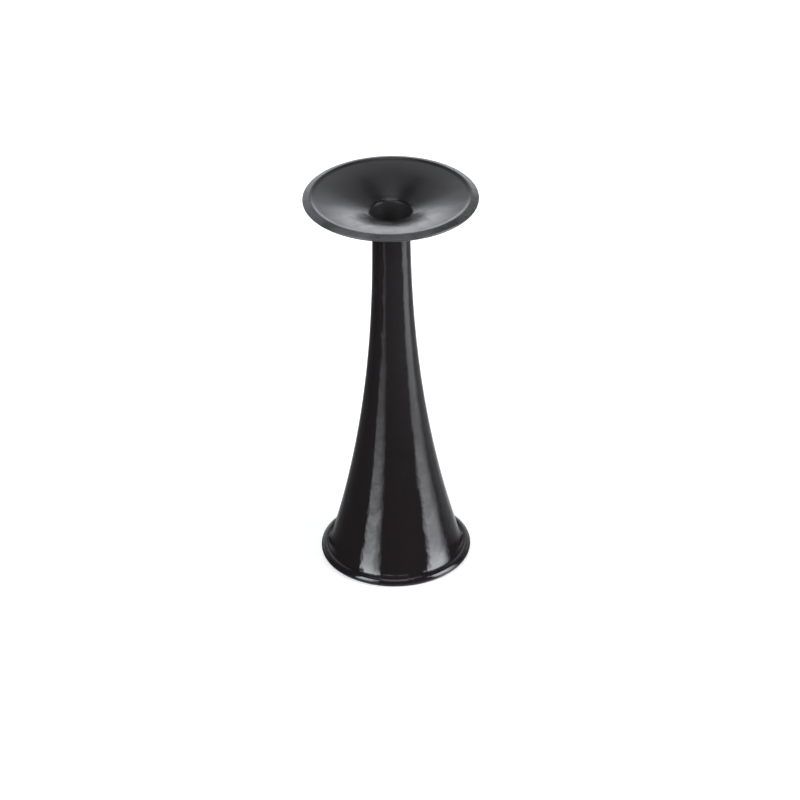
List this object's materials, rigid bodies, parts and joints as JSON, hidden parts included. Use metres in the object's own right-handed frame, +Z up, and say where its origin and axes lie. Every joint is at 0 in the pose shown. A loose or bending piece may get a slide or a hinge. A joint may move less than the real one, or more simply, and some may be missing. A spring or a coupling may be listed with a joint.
{
  "type": "monaural stethoscope",
  "caption": "Black horn stethoscope: a hollow flared bell and stem, with a dished ear plate pushed into its neck, for listening through the air inside.",
  "frame": {"origin": "centre of the ring that the bell stands on, on the axis of the horn", "axes": "+Z runs up the sound channel from the bell to the ear plate; the object is round about Z, so X and Y are free"},
  "size_m": [0.0605, 0.0606, 0.145],
  "materials": {
    "horn_plastic": "polished black, with faint scuffs",
    "plate_plastic": "black, a little softer than the horn's"
  },
  "bodies": {
    "horn": {"horn": "horn_plastic"},
    "ear_plate": {"ear_plate": "plate_plastic"}
  },
  "joints": [
    {"name": "ear_plate_pull", "type": "slide", "parent": "horn", "child": "ear_plate", "axis": [0, 0, 1], "range_m": [0, 0.02]}
  ]
}
